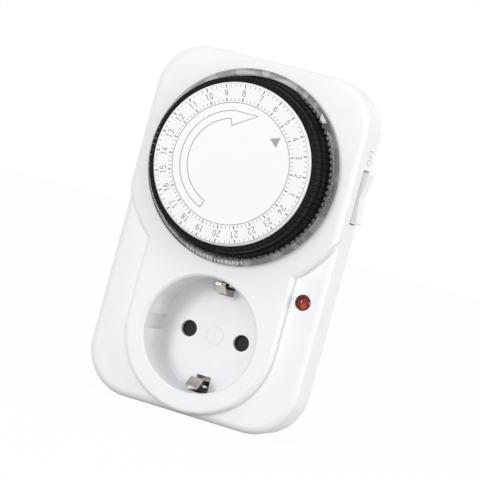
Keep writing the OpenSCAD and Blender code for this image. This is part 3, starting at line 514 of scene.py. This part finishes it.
def dress_ring():
    """Pointer, stop, beaded inner edge and grip ribs of the clear ring."""
    pointer = Lines(on_ring, top=0.06)
    pointer.patch([round_point(*corner) for corner in POINTER_CORNERS])
    pointer.piece("ring_pointer", "housing", POINTER)
    stop = Lines(on_ring, top=0.1, foot=-0.6)
    stop.patch([round_point(*corner) for corner in STOP_CORNERS])
    stop.piece("ring_stop", "housing", STOP)

    beads = Lines(on_ring)
    for quarter in BEAD_QUARTERS:
        turn = (quarter + 0.5) * 360 / QUARTERS
        rings = []
        for share, lift in BEAD_SECTION:
            outline = [
                round_point(BEAD_OUT + BEAD_HALF * share * x, turn + BEAD_TURN * share * y)
                for x, y in arc(1.0, 0, 315, 7)
            ]
            rings.append([on_ring(*point, lift) for point in outline])
        beads.layers(rings)
    beads.piece("ring_beads", "housing", SMOKE_BEAD)

    ribs = Lines(on_ring, top=0.12)
    for i in range(RIBS):
        turn = RIB_START + RIB_STEP * i
        ribs.stroke([round_point(30.9, turn), round_point(31.9, turn + 0.9)], 0.22)
    # Painted highlight: the ribs are coloured pale as glints on the clear ring
    ribs.piece("ring_grip_ribs", "housing", PAINTED_GLINT_RIB)


def dress_housing():
    """The shallow circle on the socket's floor and the word beside the rocker, which reads upwards."""
    circle = Lines(on_floor, top=0.05)
    # Painted shade: the shallow moulded circle is coloured grey where its relief would show as shade
    circle.stroke(arc(3.0, 0, 360, 48), 0.2, closed=True)
    circle.piece("floor_circle", "housing", PAINTED_SHADE_LINE)
    marks = Lines(on_side)
    write(marks, "ON", 1.9, 0.26, lambda u, v: (-19.6 - v, 70.15 + u))
    marks.piece("rocker_marks", "housing", LIGHT_INK)


print_circle()
print_ticks("hour_ticks", range(0, QUARTERS, 4), 0.4, 1.1, INK)
BETWEEN_HOURS = [quarter for quarter in range(QUARTERS) if quarter % 4]
print_ticks("quarter_hour_ticks", BETWEEN_HOURS, 0.2, 0.9, LIGHT_INK)
print_numbers()
print_arrow()
dress_ring()
dress_housing()


# ---- Floor, light and camera ----

# The photograph's frame and the camera fitted to it: pixels, degrees, metres and millimetres
PHOTO_WIDTH = 480
PHOTO_MIDDLE = PHOTO_WIDTH / 2
FOCAL_PIXELS = 2200
AIM_PIXEL = (218.357, 260.997)
AZIMUTH, ELEVATION, ROLL = 17.663, 1.315, 15.159
AIM_DISTANCE = 0.71866
AIM_HEIGHT = 25
SENSOR = 36.0

# Lamps: across, above and towards the camera from the middle of the object, width, height, watts
LAMPS = {
    "key": (-0.55, 0.26, 0.86, 0.24, 0.42, 3.8),
    "fill": (0.92, -0.12, 0.42, 0.4, 0.4, 3.6),
    "low": (0.2, -0.06, 0.9, 0.2, 0.2, 0.55),
}
LAMPS_AIM = Vector((0.0, -0.02, 0.033))
SOFT_LEVEL = 0.76

# The floor's own grey, the share of plain white that the camera sees on it, its reach in metres
# and its place below the part in millimetres
FLOOR_GREY = (0.35, 0.35, 0.35)
FLOOR_WHITE = 0.95
FLOOR_REACH = 3
FLOOR_BELOW = 0.2


def photo_axes():
    """Camera axes of the photograph: right, up and back, with the place of the lens."""
    azimuth, elevation, roll = (math.radians(a) for a in (AZIMUTH, ELEVATION, ROLL))
    level = math.cos(elevation)
    back = Vector((math.sin(azimuth) * level, -math.cos(azimuth) * level, math.sin(elevation)))
    forward = -back
    right = forward.cross(Vector((0, 0, 1))).normalized()
    up = right.cross(forward)
    right, up = right * math.cos(roll) + up * math.sin(roll), up * math.cos(roll) - right * math.sin(roll)
    aside, down = (pixel - PHOTO_MIDDLE for pixel in AIM_PIXEL)
    seen = (forward * FOCAL_PIXELS + right * aside - up * down).normalized()
    target = Vector((0, RAISED_FACE, AIM_HEIGHT)) * MM
    return right, up, back, target - seen * AIM_DISTANCE


def add_camera():
    right, up, back, place = photo_axes()
    lens = bpy.data.cameras.new("photo_camera")
    lens.sensor_width = SENSOR
    lens.lens = SENSOR * FOCAL_PIXELS / PHOTO_WIDTH
    camera = bpy.data.objects.new("photo_camera", lens)
    bpy.context.scene.collection.objects.link(camera)
    camera.matrix_world = Matrix.Translation(place) @ Matrix((right, up, back)).transposed().to_4x4()
    lens.clip_start, lens.clip_end = 0.01, 20.0
    bpy.context.scene.camera = camera


def add_lamp(name, across, above, towards, width, height, power):
    """A soft oblong lamp, placed in the camera's own directions from the middle of the object, in metres."""
    right, up, back, _ = photo_axes()
    place = LAMPS_AIM + right * across + up * above + back * towards
    light = bpy.data.lights.new(name, "AREA")
    light.shape, light.size, light.size_y, light.energy = "RECTANGLE", width, height, power
    lamp = bpy.data.objects.new(name, light)
    bpy.context.scene.collection.objects.link(lamp)
    lamp.location = place
    lamp.rotation_mode = "QUATERNION"
    lamp.rotation_quaternion = (LAMPS_AIM - place).to_track_quat("-Z", "Y")


def add_studio():
    """Soft light from all round, with a white backdrop."""
    world = bpy.data.worlds.new("studio")
    bpy.context.scene.world = world
    studio = Shader(world)
    cool = {"Color": (0.97, 0.98, 1.0, 1.0), "Strength": SOFT_LEVEL}
    soft = studio.node("ShaderNodeBackground", {}, cool)("Background")
    paper = studio.node("ShaderNodeBackground", {}, {"Color": (1.0, 1.0, 1.0, 1.0)})("Background")
    inputs = {0: studio.seen_directly(), 1: soft, 2: paper}
    studio.finish_with(studio.node("ShaderNodeMixShader", {}, inputs)("Shader"))


def add_floor():
    """A pale floor that shows white, but for the object's faint shadow."""
    low = cad_box[0].z - FLOOR_BELOW * MM
    far = FLOOR_REACH
    corners = ((-far, -far), (far, -far), (far, far), (-far, far))
    mesh = bpy.data.meshes.new("floor")
    mesh.from_pydata([(x, y, low) for x, y in corners], [], [(0, 1, 2, 3)])
    floor = bpy.data.objects.new("floor", mesh)
    bpy.context.scene.collection.objects.link(floor)
    pale = Finish("pale_floor", FLOOR_GREY, 0.9)
    seen = pale.seen_directly()
    pale.feed("Base Color", pale.blend(seen, FLOOR_GREY, (1.0, 1.0, 1.0)))
    glow = pale.node("ShaderNodeEmission", {}, {"Strength": 1.0})("Emission")
    matt = Value(pale, pale.surface.outputs["BSDF"])
    inputs = {0: seen * FLOOR_WHITE, 1: matt, 2: glow}
    pale.finish_with(pale.node("ShaderNodeMixShader", {}, inputs)("Shader"))
    mesh.materials.append(pale.material)


add_studio()
add_floor()
for lamp_name, settings in LAMPS.items():
    add_lamp(lamp_name, *settings)
add_camera()
bpy.context.scene.view_settings.view_transform = "Standard"
